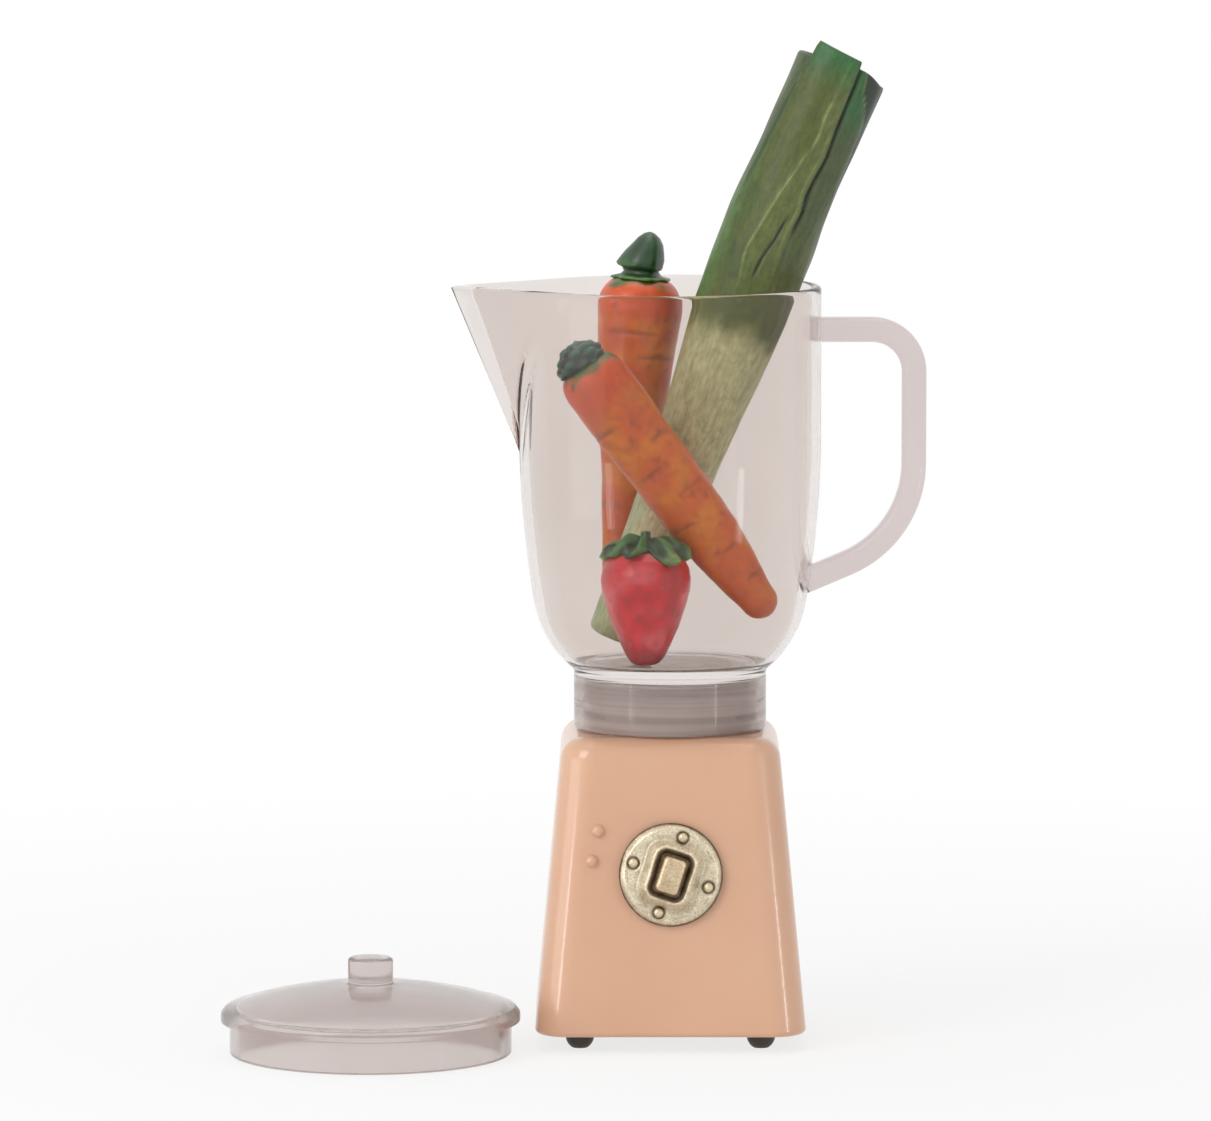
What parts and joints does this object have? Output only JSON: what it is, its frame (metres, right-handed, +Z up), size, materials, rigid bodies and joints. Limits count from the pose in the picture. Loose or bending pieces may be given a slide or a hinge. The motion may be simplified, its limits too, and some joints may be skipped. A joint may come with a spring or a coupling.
{
  "type": "toy blender",
  "caption": "Miniature play blender: painted base with a turning dial, clear screw-on jug with spout and handle, loose lid and toy food",
  "frame": {"origin": "on the axis of the jug and base, at the surface that the feet stand on", "axes": "+Z up, -Y towards the side with the dial, -X towards the spout, +X towards the handle"},
  "size_m": [0.0736, 0.044, 0.1049],
  "materials": {
    "casing_paint": "glossy peach paint on moulded plastic",
    "base_plastic": "moulded, not painted",
    "foot_rubber": "satin",
    "screw_steel": "bright",
    "seat_plastic": "smoky clear plastic, moulded",
    "cast_pewter": "cast metal with a darker tone in its recesses",
    "seal_rubber": "soft",
    "clear_plastic": "clear plastic with a faint rose tint",
    "leek_paint": "hand-painted, green to cream",
    "carrot_paint": "hand-painted orange",
    "leaf_paint": "hand-painted green",
    "berry_paint": "hand-painted red, satin"
  },
  "bodies": {
    "base": {"base_casing": "casing_paint", "base_plate": "base_plastic", "foot_front_left": "foot_rubber", "foot_front_right": "foot_rubber", "foot_rear_left": "foot_rubber", "foot_rear_right": "foot_rubber", "base_plate_screws": "screw_steel", "jug_boss": "seat_plastic", "boss_screws": "screw_steel"},
    "dial": {"dial_disc": "cast_pewter", "dial_grip": "cast_pewter", "dial_rivets": "cast_pewter", "dial_shaft": "screw_steel", "dial_washer": "screw_steel", "dial_clip": "screw_steel"},
    "seal": {"seal_ring": "seal_rubber"},
    "jug": {"jug": "clear_plastic", "jug_handle": "clear_plastic", "strawberry_berry": "berry_paint", "strawberry_calyx": "leaf_paint"},
    "lid": {"lid": "clear_plastic"},
    "leek": {"leek": "leek_paint"},
    "rear_carrot": {"carrot_rear_root": "carrot_paint", "carrot_rear_top": "leaf_paint"},
    "front_carrot": {"carrot_front_root": "carrot_paint", "carrot_front_top": "leaf_paint"}
  },
  "joints": [
    {"name": "dial_turn", "type": "hinge", "parent": "base", "child": "dial", "pos_m": [0, -0.01256, 0.0186], "axis": [0, -0.9956, 0.0937], "continuous": true},
    {"name": "jug_rise", "type": "slide", "parent": "base", "child": "seal", "axis": [0, 0, 1], "range_m": [0, 0.0065]},
    {"name": "jug_turn", "type": "hinge", "parent": "seal", "child": "jug", "pos_m": [0, 0, 0.038], "axis": [0, 0, 1], "range_deg": [0, 1440]},
    {"name": "lid_lift", "type": "slide", "parent": "base", "child": "lid", "axis": [0, 0, 1], "range_m": [0, 0.03]},
    {"name": "leek_pull", "type": "slide", "parent": "jug", "child": "leek", "axis": [0.3469, 0, 0.9379], "range_m": [0, 0.062]},
    {"name": "rear_carrot_pull", "type": "slide", "parent": "jug", "child": "rear_carrot", "axis": [0.0749, 0.0191, 0.997], "range_m": [0, 0.042]},
    {"name": "front_carrot_pull", "type": "slide", "parent": "jug", "child": "front_carrot", "axis": [0, 0, 1], "range_m": [0, 0.06]}
  ],
  "couplings": [
    {"joint": "jug_rise", "follows": "jug_turn", "m_per_rad": 0.00025465}
  ]
}
